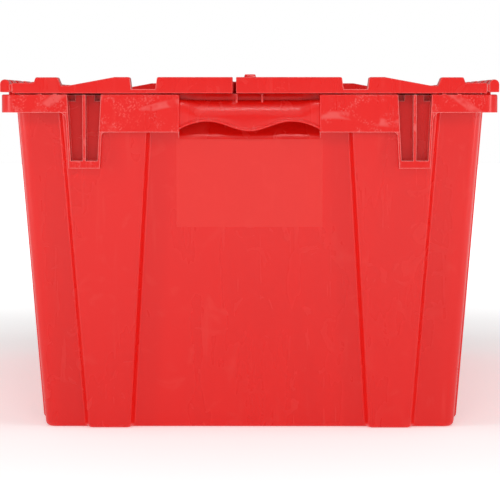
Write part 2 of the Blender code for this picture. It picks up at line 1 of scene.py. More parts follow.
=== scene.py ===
# %% [markdown]
# # Attached lid tote
# A tote of this kind is one drafted polypropylene bin, two identical lid halves and two
# galvanised rods that hinge them. The lesson rebuilds its visible surfaces over a packed
# CAD frame: the frame gives every place and every motion, and the pieces made here bring
# the rounded edges, the rolled grips and the moulded finish.

# %% Load the frame
import math

import bmesh
import bpy
from mathutils import Matrix, Vector


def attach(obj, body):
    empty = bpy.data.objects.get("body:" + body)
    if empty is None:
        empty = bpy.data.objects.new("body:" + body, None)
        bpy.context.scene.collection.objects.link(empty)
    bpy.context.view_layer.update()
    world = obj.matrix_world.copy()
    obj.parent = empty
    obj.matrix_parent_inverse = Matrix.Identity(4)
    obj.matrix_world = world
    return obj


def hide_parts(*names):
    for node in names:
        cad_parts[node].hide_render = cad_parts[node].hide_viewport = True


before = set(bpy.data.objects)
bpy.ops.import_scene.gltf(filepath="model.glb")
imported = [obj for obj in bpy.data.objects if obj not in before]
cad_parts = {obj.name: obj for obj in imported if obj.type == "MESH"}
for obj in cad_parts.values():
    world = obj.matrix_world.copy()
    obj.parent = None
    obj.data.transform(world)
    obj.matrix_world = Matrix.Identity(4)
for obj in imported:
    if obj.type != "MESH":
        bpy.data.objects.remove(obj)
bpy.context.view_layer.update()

# %% [markdown]
# ## Helpers
# A moulding is mostly flat walls with soft edges. A few small helpers cover that: a box
# made from its two corners, a test that picks faces, a cut that splits only picked faces
# with a plane, and a bevel with the values the editor would use. The last one turns a
# bmesh into a piece: it gives the piece its material and its modifiers, and tells the
# frame which body it rides on and which node it stands for.


# %% Box, slice and soften
def block(bm, low, high):
    """A box between two corners."""
    made = bmesh.ops.create_cube(bm, size=1.0)["verts"]
    size = [b - a for a, b in zip(low, high)]
    middle = [(a + b) / 2 for a, b in zip(low, high)]
    bmesh.ops.scale(bm, vec=size, verts=made)
    bmesh.ops.translate(bm, vec=middle, verts=made)
    return made


def verts_in(geometry):
    return [thing for thing in geometry if isinstance(thing, bmesh.types.BMVert)]


def faces_where(bm, test):
    """Faces whose middle and normal pass a test."""
    return [face for face in bm.faces if test(face.calc_center_median(), face.normal)]


def slice_faces(bm, test, point, normal):
    """Splits only the faces that pass a test, with one plane."""
    bm.normal_update()
    chosen = faces_where(bm, test)
    geometry = set(chosen)
    for face in chosen:
        geometry.update(face.edges)
        geometry.update(face.verts)
    bmesh.ops.bisect_plane(
        bm, geom=list(geometry), dist=1e-6, plane_co=point, plane_no=normal
    )
    bm.normal_update()


def soften(bm, edges, width, segments=3):
    """Rounds chosen edges."""
    bmesh.ops.bevel(
        bm, geom=edges, offset=width, offset_type="OFFSET", segments=segments,
        profile=0.5, affect="EDGES", material=-1, clamp_overlap=True,
    )


# %% From a bmesh to a finished piece
MERGE = 1e-6
SHARP_FROM = math.radians(28)
LARGEST_FACE_ONLY = 100


def steady_shading(piece):
    """Lets the large flat faces decide the shading, so that they look flat."""
    steady = piece.modifiers.new("steady_shading", "WEIGHTED_NORMAL")
    steady.mode = "FACE_AREA"
    steady.weight = LARGEST_FACE_ONLY
    steady.keep_sharp = True


def finish_piece(bm, name, material, wall=0.0, edge=0.0, body="tote", node="tote_body"):
    """Links a piece. A wall grows inwards from an open skin, an edge is rounded."""
    bmesh.ops.remove_doubles(bm, verts=bm.verts, dist=MERGE)
    bmesh.ops.recalc_face_normals(bm, faces=bm.faces)
    mesh = bpy.data.meshes.new(name)
    bm.to_mesh(mesh)
    bm.free()
    mesh.shade_smooth()
    piece = bpy.data.objects.new(name, mesh)
    bpy.context.scene.collection.objects.link(piece)
    mesh.materials.append(material)
    if wall:
        skin = piece.modifiers.new("wall", "SOLIDIFY")
        skin.thickness = wall
        skin.offset = -1.0
        skin.use_even_offset = True
        skin.use_quality_normals = True
    if edge:
        rounding = piece.modifiers.new("edge", "BEVEL")
        rounding.width = edge
        rounding.segments = 2
        rounding.limit_method = "ANGLE"
        rounding.angle_limit = SHARP_FROM
        rounding.miter_outer = "MITER_ARC"
    if wall or edge:
        steady_shading(piece)
    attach(piece, body)
    if node:
        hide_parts(node)
    print(name, len(mesh.vertices), "vertices", len(mesh.polygons), "faces")
    return piece


# %% [markdown]
# ## The moulded plastic
# Injection moulded polypropylene is one colour all through, yet it never looks like one:
# the melt leaves long faint flow marks, the tool leaves a fine spark-eroded grain, and
# handling polishes some places and scratches others. The node tree below layers these
# over Object coordinates, so that the pattern stays on the piece in every view. It also
# paints a pale highlight along every edge, in place of the glints of light on rounded
# edges.

# %% A node tree with short words
def tree_of(name):
    material = bpy.data.materials.new(name)
    material.use_nodes = True
    tree = material.node_tree
    return material, tree, tree.nodes["Principled BSDF"]


def node(tree, kind, inputs=(), **settings):
    """Makes a node, sets its properties and links or fills its inputs."""
    made = tree.nodes.new(kind)
    for key, value in settings.items():
        setattr(made, key, value)
    for key, value in dict(inputs).items():
        if isinstance(value, bpy.types.NodeSocket):
            tree.links.new(value, made.inputs[key])
        else:
            made.inputs[key].default_value = value
    return made


def maths(tree, operation, a, b=0.0, c=0.0, clamp=False):
    made = node(tree, "ShaderNodeMath", {0: a, 1: b, 2: c}, operation=operation)
    made.use_clamp = clamp
    return made.outputs[0]


def blend_colour(tree, share, low, high):
    made = node(tree, "ShaderNodeMix", data_type="RGBA")
    for socket, value in ((0, share), (6, low), (7, high)):
        if isinstance(value, bpy.types.NodeSocket):
            tree.links.new(value, made.inputs[socket])
        else:
            made.inputs[socket].default_value = value
    return made.outputs[2]


def ranged(tree, value, low, high, to_low, to_high):
    """A value carried from one range to another, clamped and smooth."""
    made = node(
        tree, "ShaderNodeMapRange", {0: value, 1: low, 2: high, 3: to_low, 4: to_high},
        interpolation_type="SMOOTHSTEP",
    )
    return made.outputs[0]


def inside(tree, value, low, high, soft):
    """1 between two limits and 0 outside them, with soft ends."""
    up = ranged(tree, value, low - soft, low + soft, 0.0, 1.0)
    down = ranged(tree, value, high - soft, high + soft, 1.0, 0.0)
    return maths(tree, "MULTIPLY", up, down)


# %% Red moulded plastic
RED = (0.780, 0.008, 0.005, 1.0)
RED_PALE = (0.810, 0.040, 0.032, 1.0)
RED_DEEP = (0.715, 0.005, 0.003, 1.0)
# Pale red for the bands' scuffs, and for the painted highlight along every edge.
RED_SCUFF_AND_GLINT = (0.930, 0.330, 0.310, 1.0)
EDGE_REACH = 0.0012
EDGE_PALE = 0.85
FLOW_STRETCH = (9.0, 9.0, 2.2)
STREAK_STRETCH = (150.0, 150.0, 7.0)
SWIRL_SCALE = 34.0
GRAIN_SCALE = 2600.0
GRAIN_DEPTH = 0.000005
WAVE_SCALE = 16.0
WAVE_DEPTH = 0.00022
FLECK_SCALE = 620.0
SCUFF_DEPTH = 0.00003
BAND_FRONT = (0.3398, 0.3406)
PIT_SCALE = 900.0
PIT_DEPTH = 0.00006
LABEL_EDGE = 0.0003
POLYPROPYLENE_IOR = 1.49
PATCH_HALF = 0.0635
PATCH_LOW = 0.1771
PATCH_HIGH = 0.2535


def moulded_plastic(name, roughness, patch):
    """Red polypropylene. A patch adds the bands' scuffs and the matte label field."""
    material, tree, shader = tree_of(name)
    place = node(tree, "ShaderNodeTexCoord").outputs["Object"]
    axes = node(tree, "ShaderNodeSeparateXYZ", {0: place}).outputs

    stretched = node(tree, "ShaderNodeMapping", {0: place, 3: FLOW_STRETCH}).outputs[0]
    cloud = node(
        tree, "ShaderNodeTexNoise", {0: stretched, 2: 1.6, 3: 4.0, 4: 0.6}
    ).outputs[0]
    swirl = node(
        tree, "ShaderNodeTexNoise", {0: place, 2: SWIRL_SCALE, 3: 3.0, 8: 1.6}
    ).outputs[0]
    streaks = node(tree, "ShaderNodeMapping", {0: place, 3: STREAK_STRETCH}).outputs[0]
    streak = node(tree, "ShaderNodeTexNoise", {0: streaks, 2: 1.0, 3: 3.0}).outputs[0]

    flow = ranged(tree, cloud, 0.38, 0.66, 0.0, 1.0)
    colour = blend_colour(tree, maths(tree, "MULTIPLY", flow, 0.55), RED, RED_DEEP)
    rubbed = ranged(tree, swirl, 0.56, 0.74, 0.0, 1.0)
    colour = blend_colour(tree, maths(tree, "MULTIPLY", rubbed, 0.35), colour, RED_PALE)
    drawn = ranged(tree, streak, 0.60, 0.78, 0.0, 0.40)
    colour = blend_colour(tree, drawn, colour, RED_PALE)

    gloss = maths(tree, "MULTIPLY_ADD", rubbed, 0.06, roughness)
    gloss = maths(tree, "MULTIPLY_ADD", flow, -0.05, gloss)
    gloss = maths(tree, "MULTIPLY_ADD", drawn, 0.15, gloss)

    grain = node(tree, "ShaderNodeTexNoise", {0: place, 2: GRAIN_SCALE, 3: 2.0}).outputs[0]
    wave = node(tree, "ShaderNodeTexNoise", {0: place, 2: WAVE_SCALE, 3: 2.0}).outputs[0]
    height = maths(tree, "MULTIPLY", grain, GRAIN_DEPTH)
    height = maths(tree, "MULTIPLY_ADD", wave, WAVE_DEPTH, height)

    # Painted highlight: a pale line along every edge, standing in for the glints the
    # rounded edges catch from the lamps; it also lowers the roughness there.
    soft = node(tree, "ShaderNodeBevel", {"Radius": EDGE_REACH}, samples=6).outputs[0]
    flat = node(tree, "ShaderNodeNewGeometry").outputs["Normal"]
    along = node(tree, "ShaderNodeVectorMath", {0: soft, 1: flat}, operation="DOT_PRODUCT")
    bent = maths(tree, "SUBTRACT", 1.0, along.outputs["Value"])
    edge_glint = ranged(tree, bent, 0.010, 0.14, 0.0, EDGE_PALE)
    colour = blend_colour(tree, edge_glint, colour, RED_SCUFF_AND_GLINT)
    gloss = maths(tree, "MULTIPLY_ADD", edge_glint, -0.10, gloss)

    if patch:
        outwards = maths(tree, "ABSOLUTE", axes[1])
        outermost = ranged(tree, outwards, *BAND_FRONT, 0.0, 1.0)
        curl = node(
            tree, "ShaderNodeTexWave", {0: place, 1: 7.0, 2: 5.0, 3: 2.0, 4: 0.8},
            wave_type="RINGS", rings_direction="Y",
        ).outputs["Fac"]
        broken = node(tree, "ShaderNodeTexNoise", {0: place, 2: 60.0, 3: 2.0}).outputs[0]
        mark = maths(
            tree, "MULTIPLY", ranged(tree, curl, 0.90, 0.995, 0.0, 0.22),
            ranged(tree, broken, 0.46, 0.60, 0.0, 1.0),
        )
        fleck = node(
            tree, "ShaderNodeTexNoise", {0: place, 2: FLECK_SCALE, 3: 3.0}
        ).outputs[0]
        fleck = maths(
            tree, "MULTIPLY", ranged(tree, fleck, 0.50, 0.68, 0.0, 0.24),
            ranged(tree, swirl, 0.44, 0.60, 0.0, 1.0),
        )
        scuff = maths(tree, "MULTIPLY", maths(tree, "MAXIMUM", mark, fleck), outermost)
        colour = blend_colour(tree, scuff, colour, RED_SCUFF_AND_GLINT)
        gloss = maths(tree, "MULTIPLY_ADD", scuff, 0.10, gloss)
        height = maths(tree, "MULTIPLY_ADD", scuff, SCUFF_DEPTH, height)

        across = inside(tree, axes[0], -PATCH_HALF, PATCH_HALF, LABEL_EDGE)
        up = inside(tree, axes[2], PATCH_LOW, PATCH_HIGH, LABEL_EDGE)
        far = maths(tree, "GREATER_THAN", outwards, 0.30)
        label = maths(tree, "MULTIPLY", maths(tree, "MULTIPLY", across, up), far)
        matte = maths(tree, "MULTIPLY", label, 0.62)
        colour = blend_colour(tree, matte, colour, RED_PALE)
        gloss = maths(tree, "MULTIPLY_ADD", label, 0.22, gloss)
        pits = node(tree, "ShaderNodeTexVoronoi", {0: place, 2: PIT_SCALE}).outputs[0]
        height = maths(
            tree, "MULTIPLY_ADD", maths(tree, "MULTIPLY", pits, label), PIT_DEPTH, height
        )

    tree.links.new(colour, shader.inputs["Base Color"])
    tree.links.new(gloss, shader.inputs["Roughness"])
    bump = node(
        tree, "ShaderNodeBump", {"Strength": 1.0, "Distance": 1.0, "Height": height}
    )
    tree.links.new(bump.outputs[0], shader.inputs["Normal"])
    shader.inputs["IOR"].default_value = POLYPROPYLENE_IOR
    shader.inputs["Specular IOR Level"].default_value = 0.40
    print("material", name, len(tree.nodes), "nodes")
    return material


bin_red = moulded_plastic("red_moulded_bin", 0.29, True)
lid_red = moulded_plastic("red_moulded_lid", 0.29, False)


# %% [markdown]
# ## The bin's walls
# The walls lean outwards so that empty bins nest, and tall columns stiffen them. One
# cube makes the whole skin: its top is spread for the draft, slanted planes cut the
# column edges into the walls, and the faces between them are moved out. Real corners
# are large and soft, the base edge is smaller, the columns smaller still, so they are
# bevelled in that order. The wall's thickness comes last, from a Solidify modifier.

# %% Draft
BASE_HALF_X = 0.1801
BASE_HALF_Y = 0.3095
HIGH = 0.276
LEAN_X = (0.2010 - BASE_HALF_X) / HIGH
LEAN_Y = (0.3295 - BASE_HALF_Y) / HIGH
LIP_TOP = 0.2927
WALL = 0.0026


def wall_x(z):
    return BASE_HALF_X + LEAN_X * z


def wall_y(z):
    return BASE_HALF_Y + LEAN_Y * z


tub = bmesh.new()
block(tub, (-BASE_HALF_X, -BASE_HALF_Y, 0.0), (BASE_HALF_X, BASE_HALF_Y, LIP_TOP))
for vert in tub.verts:
    if vert.co.z > 0.1:
        vert.co.x = math.copysign(wall_x(LIP_TOP), vert.co.x)
        vert.co.y = math.copysign(wall_y(LIP_TOP), vert.co.y)
print("lip", round(2 * wall_x(LIP_TOP), 4), round(2 * wall_y(LIP_TOP), 4))

# %% Columns: where their edges run, and how far they stand out
END_COLUMNS = ((0.1049, 0.0881), (0.1409, 0.1612))
END_PROUD = 0.0080
SIDE_COLUMNS = (0.235, 0.085)
SIDE_HALF = (0.0200, 0.0360)
SIDE_PROUD = 0.0062
FLANK = 0.0035


def is_end(centre, normal):
    return abs(normal.y) > 0.9


def is_side(centre, normal):
    return abs(normal.x) > 0.9


def cut_line(bm, test, axis, low, high):
    """Cuts chosen walls along a line that passes low at the base and high at HIGH."""
    lean = high - low
    normal = Vector((HIGH, 0, -lean)) if axis == 0 else Vector((0, HIGH, -lean))
    point = (low, 0, 0) if axis == 0 else (0, low, 0)
    slice_faces(bm, test, point, normal)


for side in (-1, 1):
    for (low, high), flank in zip(END_COLUMNS, (-FLANK, FLANK)):
        cut_line(tub, is_end, 0, side * low, side * high)
        cut_line(tub, is_end, 0, side * (low + flank), side * (high + flank))
for centre in SIDE_COLUMNS + tuple(-c for c in SIDE_COLUMNS):
    for hand in (-1, 1):
        low, high = (centre + hand * half for half in SIDE_HALF)
        cut_line(tub, is_side, 1, low, high)
        cut_line(tub, is_side, 1, low + hand * FLANK, high + hand * FLANK)
print("walls cut into", len(tub.faces), "faces")

# %% Push the columns out
def on_end_column(centre):
    low, high = (sum(pair) / 2 for pair in END_COLUMNS)
    return low < abs(centre.x) < high


def on_side_column(centre):
    half = sum(SIDE_HALF) / 2
    return any(abs(abs(centre.y) - at) < half for at in SIDE_COLUMNS)


for face in list(tub.faces):
    centre = face.calc_center_median()
    if is_end(centre, face.normal) and on_end_column(centre):
        push = Vector((0, math.copysign(END_PROUD, centre.y), 0))
    elif is_side(centre, face.normal) and on_side_column(centre):
        push = Vector((math.copysign(SIDE_PROUD, centre.x), 0, 0))
    else:
        continue
    bmesh.ops.translate(tub, vec=push, verts=face.verts)
print("columns stand", END_PROUD, "and", SIDE_PROUD, "proud")

# %% Round the corners, then the base
CORNER_RADIUS = 0.0095
BASE_RADIUS = 0.0042
TINY = 1e-6


def upright(edge):
    return abs((edge.verts[0].co - edge.verts[1].co).normalized().z) > 0.9


corners = [
    edge for edge in tub.edges
    if upright(edge) and min(abs(v.co.x) for v in edge.verts) > BASE_HALF_X - 0.001
    and min(abs(v.co.y) for v in edge.verts) > BASE_HALF_Y - 0.001
]
soften(tub, corners, CORNER_RADIUS, 6)
tub.normal_update()
base = [edge for edge in tub.edges if all(abs(v.co.z) < TINY for v in edge.verts)]
soften(tub, base, BASE_RADIUS, 4)
print(len(corners), "corners and", len(base), "base edges rounded")

# %% Soften the column edges
COLUMN_ROUND = 0.0014


def runs_up(edge):
    return abs(edge.verts[0].co.z - edge.verts[1].co.z) > 1e-5


tub.normal_update()
creases = [
    edge for edge in tub.edges
    if runs_up(edge) and edge.calc_face_angle(0) > math.radians(20)
]
soften(tub, creases, COLUMN_ROUND, 3)
print(len(creases), "column edges softened")

# %% [markdown]
# ## What is pressed into the walls
# Behind each grip the wall runs inwards, so that four fingers fit under the roll. Low on
# the same wall sits a shallow panel, and above it a slightly raised label field. Each is
# a face that planes cut out of the wall and an inset or an extrude moves. The stacking
# lugs get their own piece, so the wall is opened where they stand.


# %% Press faces in
def in_window(half, low, high):
    """A test for end wall faces whose middle lies in a window of x and z."""
    return lambda c, n: abs(n.y) > 0.9 and abs(c.x) < half and low < c.z < high


def cut_window(bm, test, half, low, high):
    """Cuts a rectangle out of the middle of both end walls."""
    for point, normal in (
        ((half, 0, 0), (1, 0, 0)), ((-half, 0, 0), (1, 0, 0)),
        ((0, 0, low), (0, 0, 1)), ((0, 0, high), (0, 0, 1)),
    ):
        slice_faces(bm, test, point, normal)


def extrude_faces(bm, faces):
    """Extrudes faces as one region and gives the vertices that may now be moved."""
    result = bmesh.ops.extrude_face_region(bm, geom=faces)["geom"]
    stale = [face for face in faces if face.is_valid]
    bmesh.ops.delete(bm, geom=stale, context="FACES")
    return verts_in(result)


MID_WALL = in_window(0.070, 0.010, LIP_TOP)
SCOOP_HALF = 0.0612
SCOOP_LOW = 0.2560
SCOOP_HIGH = 0.2842
SCOOP_BACK = 0.3135
SCOOP_SLOPE = 1.75
MOUTH_ROUND = 0.0060
PANEL_HALF = 0.0382
PANEL_LOW = 0.0085
PANEL_HIGH = 0.0464
for half, low, high in (
    (SCOOP_HALF, SCOOP_LOW, SCOOP_HIGH),
    (PATCH_HALF, PATCH_LOW, PATCH_HIGH),
    (PANEL_HALF, PANEL_LOW, PANEL_HIGH),
):
    cut_window(tub, MID_WALL, half, low, high)
print("end walls now", len(faces_where(tub, MID_WALL)), "faces")

# %% Finger room
for end in (-1, 1):
    mouth = [
        face for face in faces_where(tub, in_window(SCOOP_HALF, SCOOP_LOW, SCOOP_HIGH))
        if face.calc_center_median().y * end > 0
    ]
    for vert in extrude_faces(tub, mouth):
        depth = abs(vert.co.y) - SCOOP_BACK
        if vert.co.z < SCOOP_HIGH - 0.001:
            vert.co.z = SCOOP_LOW + SCOOP_SLOPE * depth
        vert.co.y = end * SCOOP_BACK
    tub.normal_update()
    lips = [
        edge for edge in tub.edges
        if edge.calc_face_angle(0) > math.radians(15)
        and all(
            v.co.y * end > SCOOP_BACK + 0.004 and abs(v.co.x) < SCOOP_HALF + 1e-4
            and SCOOP_LOW - 1e-4 < v.co.z < SCOOP_HIGH + 1e-4 for v in edge.verts
        )
        and all(v.co.z < SCOOP_LOW + 1e-4 for v in edge.verts)
    ]
    soften(tub, lips, MOUTH_ROUND, 6)
    print("finger room", "back" if end > 0 else "front", len(lips), "edges softened")

# %% Label field and low panel
PATCH_STEP = 0.0002
PANEL_STEP = -0.0004
STEP_WIDTH = 0.0012


def shift_window(bm, half, low, high, step):
    faces = faces_where(bm, in_window(half, low, high))
    for end in (-1, 1):
        region = [face for face in faces if face.calc_center_median().y * end > 0]
        bmesh.ops.inset_region(
            bm, faces=region, thickness=STEP_WIDTH, depth=step, use_even_offset=True
        )
    print(len(faces), "faces moved by", step)


shift_window(tub, PATCH_HALF, PATCH_LOW, PATCH_HIGH, PATCH_STEP)
shift_window(tub, PANEL_HALF, PANEL_LOW, PANEL_HIGH, PANEL_STEP)

# %% Openings for the lugs
LUG_LOW = 0.2285
LUG_HIGH = 0.2925
LUG_FOOT = (0.1290, 0.1557)
LUG_TOP = (0.1256, 0.1590)
BEHIND = 0.0010


def lug_x(edge, z):
    """The lug's inner (0) or outer (1) side at a height."""
    share = (z - LUG_LOW) / (LUG_HIGH - LUG_LOW)
    return LUG_FOOT[edge] + (LUG_TOP[edge] - LUG_FOOT[edge]) * share


def column_front(centre, normal):
    proud = abs(centre.y) > wall_y(centre.z) + END_PROUD / 2
    return abs(normal.y) > 0.9 and proud and 0.02 < centre.z


for side in (-1, 1):
    for edge, hidden in ((0, BEHIND), (1, -BEHIND)):
        low = side * (lug_x(edge, 0.0) + hidden)
        high = side * (lug_x(edge, HIGH) + hidden)
        cut_line(tub, column_front, 0, low, high)
slice_faces(tub, column_front, (0, 0, LUG_LOW + BEHIND), (0, 0, 1))
hole = [
    face for face in faces_where(tub, column_front)
    if face.calc_center_median().z > LUG_LOW
    and lug_x(0, 0.26) < abs(face.calc_center_median().x) < lug_x(1, 0.26)
]
bmesh.ops.delete(tub, geom=hole, context="FACES")
print(len(hole), "wall faces opened for the lugs")

# %% [markdown]
# ## Foot ring
# The base stands on a flat ring, and the middle is raised so that the ribs of the lids
# below have room. Four planes mark the middle of the base, it is extruded upwards, and
# its corners are drawn in a little so that the mould can let go of it.

# %% Raise the middle of the base
FOOT_X = 0.1600
FOOT_Y = 0.2890
FOOT_DRAFT = 0.0040
FOOT_DEPTH = 0.0095
FOOT_ROUND = 0.0020


def is_base(centre, normal):
    return normal.z < -0.9 and centre.z < 0.001


for point, normal in (
    ((FOOT_X, 0, 0), (1, 0, 0)), ((-FOOT_X, 0, 0), (1, 0, 0)),
    ((0, FOOT_Y, 0), (0, 1, 0)), ((0, -FOOT_Y, 0), (0, 1, 0)),
):
    slice_faces(tub, is_base, point, normal)
middle = [
    face for face in faces_where(tub, is_base)
    if abs(face.calc_center_median().x) < 0.01 and abs(face.calc_center_median().y) < 0.01
]
for vert in extrude_faces(tub, middle):
    vert.co.x -= math.copysign(FOOT_DRAFT, vert.co.x)
    vert.co.y -= math.copysign(FOOT_DRAFT, vert.co.y)
    vert.co.z = FOOT_DEPTH
tub.normal_update()
rim = [
    edge for edge in tub.edges
    if all(abs(v.co.z - FOOT_DEPTH) < TINY for v in edge.verts)
]
soften(tub, rim, FOOT_ROUND, 3)
print("base faces", len(faces_where(tub, is_base)))

# %% Open the top and give the skin its wall
tub.normal_update()
lid_side = faces_where(tub, lambda c, n: n.z > 0.9 and c.z > LIP_TOP - 0.001)
bmesh.ops.delete(tub, geom=lid_side, context="FACES")
walls = finish_piece(tub, "bin_walls", bin_red, wall=WALL)
walls.data.set_sharp_from_angle(angle=math.radians(40))

# %% [markdown]
# ## Flange
# A rim runs round the top of the bin. Over the ends it deepens into two wide bands
# beside the grip and two corner bands, along the sides it is a plain rail that carries
# the hinges. One open skin makes it: a rounded box without a floor, planes that mark the
# bands, and edges pulled down where a band is deeper.

# %% One rounded ring
RIM_HALF_X = 0.2085
BAND_HALF_X = 0.2145
HALF_Y = 0.3415
RIM_TOP = 0.2921
SKIRT_LOW = 0.2765
BAND_START = 0.312
BAND_STEP = 0.306
BAND_RADIUS = 0.0155
RIM_ROUND = 0.0012
RIM_WALL = 0.0025

ring = bmesh.new()
block(ring, (-BAND_HALF_X, -HALF_Y, SKIRT_LOW), (BAND_HALF_X, HALF_Y, RIM_TOP))
for y in (-BAND_START, -BAND_STEP, BAND_STEP, BAND_START):
    slice_faces(ring, lambda c, n: True, (0, y, 0), (0, 1, 0))
for vert in ring.verts:
    if abs(vert.co.y) < BAND_STEP + 0.001:
        vert.co.x = math.copysign(RIM_HALF_X, vert.co.x)
ring.normal_update()
corners = [
    edge for edge in ring.edges
    if upright(edge) and abs(edge.verts[0].co.y) > HALF_Y - 0.001
]
soften(ring, corners, BAND_RADIUS, 10)
ring.normal_update()
ring_base = faces_where(ring, lambda c, n: n.z < -0.9)
bmesh.ops.delete(ring, geom=ring_base, context="FACES")

# %% Mark the bands and open the middle
GRIP_HALF = 0.0603
LUG_WALL = 0.0021
WIDE_LOW = 0.2596
OPENING_X = 0.2000
OPENING_Y = 0.3288


def wide_end(z):
    """Where a wide band ends, at the pocket's edge."""
    return lug_x(0, z) + LUG_WALL


def corner_in(z):
    """Where a corner band starts, at the pocket's other edge."""
    return lug_x(1, z) - LUG_WALL


def at_ends(centre, normal):
    return abs(centre.y) > BAND_START


def is_top(centre, normal):
    return normal.z > 0.9


def is_opening(centre, normal):
    """The open middle, and at the ends the gaps for the grips and the lugs."""
    away = abs(centre.x)
    if is_top(centre, normal) and away < OPENING_X and abs(centre.y) < OPENING_Y:
        return True
    in_lug = wide_end(centre.z) < away < corner_in(centre.z)
    return at_ends(centre, normal) and (away < GRIP_HALF or in_lug)


for side in (-1, 1):
    slice_faces(ring, at_ends, (side * GRIP_HALF, 0, 0), (1, 0, 0))
    for edge_at in (wide_end, corner_in):
        cut_line(ring, at_ends, 0, side * edge_at(0.0), side * edge_at(HIGH))
for side in (-1, 1):
    slice_faces(ring, is_top, (side * OPENING_X, 0, 0), (1, 0, 0))
    slice_faces(ring, is_top, (0, side * OPENING_Y, 0), (0, 1, 0))
bmesh.ops.delete(ring, geom=faces_where(ring, is_opening), context="FACES")
print(len(ring.faces), "faces left in the flange")

# %% Pull the wide bands down, turn their inner sides back
lower = [
    edge for edge in ring.edges
    if edge.is_boundary and all(abs(v.co.z - SKIRT_LOW) < 1e-6 for v in edge.verts)
    and all(abs(v.co.x) < wide_end(SKIRT_LOW) + 1e-4 for v in edge.verts)
]
pulled = bmesh.ops.extrude_edge_only(ring, edges=lower)["geom"]
for vert in verts_in(pulled):
    if abs(vert.co.x) > GRIP_HALF + 1e-4:
        vert.co.x = math.copysign(wide_end(WIDE_LOW), vert.co.x)
    vert.co.z = WIDE_LOW
inner = [
    edge for edge in ring.edges
    if edge.is_boundary and all(abs(abs(v.co.x) - GRIP_HALF) < 1e-5 for v in edge.verts)
    and all(abs(v.co.y) > HALF_Y - 0.004 for v in edge.verts)
]
turned = bmesh.ops.extrude_edge_only(ring, edges=inner)["geom"]
for vert in verts_in(turned):
    vert.co.y = math.copysign(OPENING_Y, vert.co.y)
bmesh.ops.remove_doubles(ring, verts=ring.verts, dist=1e-6)
print(len(lower), "edges pulled down and", len(inner), "turned back")

# %% Round the bands' sides, then every upper edge
BAND_SIDE_ROUND = 0.0022
ring.normal_update()
sides = [
    edge for edge in ring.edges
    if upright(edge) and len(edge.link_faces) == 2
    and all(abs(abs(v.co.x) - GRIP_HALF) < 1e-5 for v in edge.verts)
    and edge.calc_face_angle(0) > 1.0
]
soften(ring, sides, BAND_SIDE_ROUND, 5)
ring.normal_update()
outer = [
    edge for edge in ring.edges
    if all(abs(v.co.z - RIM_TOP) < 1e-6 for v in edge.verts)
    and len(edge.link_faces) == 2 and edge.calc_face_angle(0) > 1.0
]
soften(ring, outer, RIM_ROUND, 3)
print(len(sides), "side edges and", len(outer), "upper edges rounded")
BAND_EDGE = 0.0006
finish_piece(ring, "end_bands_and_side_rims", bin_red, wall=RIM_WALL, edge=BAND_EDGE)

# %% [markdown]
# ## Stacking lugs
# Two pockets beside a centre rib take the feet of the tote above when lids are off. A
# tapered box is the start. Planes mark the cells on its front and its top, the cells are
# pressed in, and the faces that would roof them over are deleted. A pair of deeper
# niches at the top is pressed in the same way.

# %% Measures of a lug
LUG_BACK = 0.3215
LUG_FRONT = HALF_Y - 0.0004
LUG_TOP_Z = 0.2918
LUG_RIB = 0.0025
POCKET_FLOOR = 0.2350
POCKET_BACK = 0.3285
NICHE_FLOOR = 0.2864
NICHE_BACK = 0.3241
TAB_HALF = 0.0085
LUG_MIDDLE = (LUG_TOP[0] + LUG_TOP[1]) / 2


def cell_edges(z):
    """The four x places between which the two pockets lie, at a height."""
    return (
        lug_x(0, z) + LUG_WALL, LUG_MIDDLE - LUG_RIB / 2,
        LUG_MIDDLE + LUG_RIB / 2, lug_x(1, z) - LUG_WALL,
    )


def in_cell(x, z):
    left, rib_left, rib_right, right = cell_edges(z)
    return left < x < rib_left or rib_right < x < right


def press_open(bm, faces, depth, over_cell):
    """Presses faces in to a depth and takes away the roof over the cell they leave."""
    for vert in extrude_faces(bm, faces):
        vert.co.y = -depth
    bm.normal_update()
    roof = faces_where(
        bm,
        lambda c, n: abs(n.z) > 0.9 and c.z > LUG_TOP_Z - 1e-4
        and -c.y > depth and over_cell(c.x),
    )
    bmesh.ops.delete(bm, geom=roof, context="FACES")
    bmesh.ops.remove_doubles(bm, verts=bm.verts, dist=1e-6)
    bm.normal_update()


# %% Press the pockets in
def is_front(centre, normal):
    return normal.y < -0.9


def is_front_or_top(centre, normal):
    return is_front(centre, normal) or is_top(centre, normal)


def is_cell_front(centre, normal):
    above_floor = is_front(centre, normal) and centre.z > POCKET_FLOOR
    return above_floor and in_cell(centre.x, centre.z)


lug = bmesh.new()
block(lug, (LUG_TOP[0], -LUG_FRONT, LUG_LOW), (LUG_TOP[1], -LUG_BACK, LUG_TOP_Z))
for vert in lug.verts:
    vert.co.x = lug_x(0 if vert.co.x < LUG_MIDDLE else 1, vert.co.z)
for low, high in zip(cell_edges(0.0), cell_edges(HIGH)):
    cut_line(lug, is_front_or_top, 0, low, high)
slice_faces(lug, is_top, (0, -POCKET_BACK, 0), (0, 1, 0))
slice_faces(lug, is_front, (0, 0, POCKET_FLOOR), (0, 0, 1))
cells = faces_where(lug, is_cell_front)
press_open(lug, cells, POCKET_BACK, lambda x: in_cell(x, LUG_HIGH))

# %% Niches beside the tab
def pocket_backs(centre, normal):
    return is_front(centre, normal) and abs(centre.y + POCKET_BACK) < 1e-5


def behind_top(centre, normal):
    return is_top(centre, normal) and centre.y > -POCKET_BACK


def beside_tab(x):
    return in_cell(x, LUG_HIGH) and abs(x - LUG_MIDDLE) > TAB_HALF


